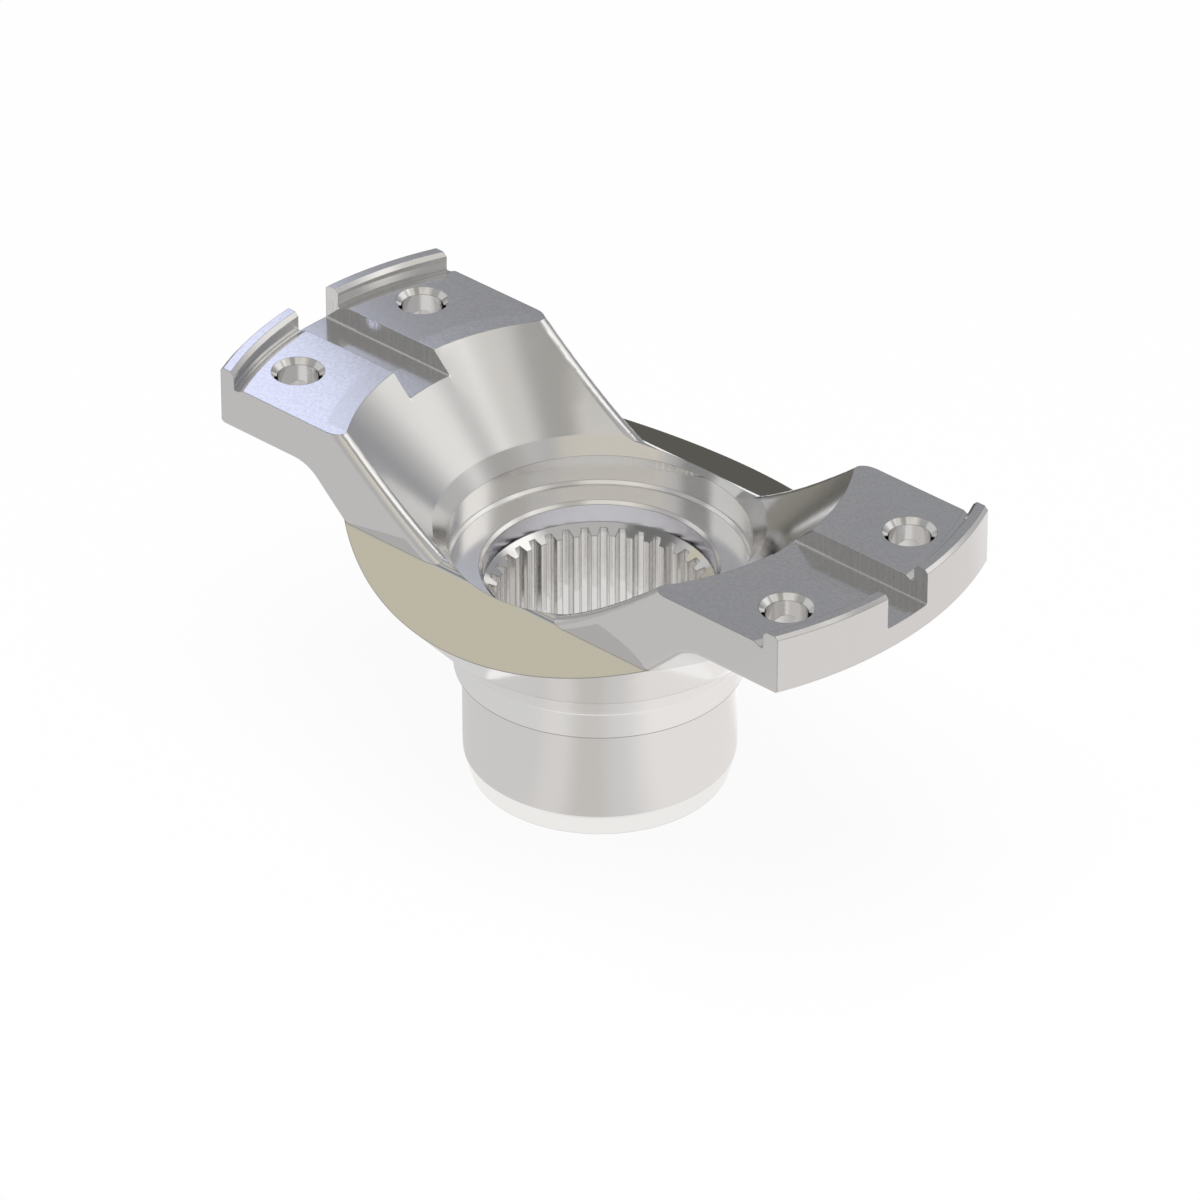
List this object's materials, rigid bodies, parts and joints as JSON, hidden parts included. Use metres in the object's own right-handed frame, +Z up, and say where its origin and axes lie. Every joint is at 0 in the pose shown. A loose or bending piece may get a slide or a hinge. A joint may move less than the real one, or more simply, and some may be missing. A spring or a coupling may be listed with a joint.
{
  "type": "forged end yoke",
  "caption": "Forged steel driveline end yoke: splined hub, flared bowl, and opposed ears with bolted, slotted pads that hold the bearing cups of a universal joint.",
  "frame": {"origin": "centre of the hub's end face, which it stands on", "axes": "+Z up the spline bore towards the ears; +X along the two ears, through the key slots"},
  "size_m": [0.216, 0.1224, 0.1041],
  "materials": {
    "machined_steel": "satin machined steel"
  },
  "bodies": {
    "root": {"forged_yoke": "machined_steel"}
  },
  "joints": []
}
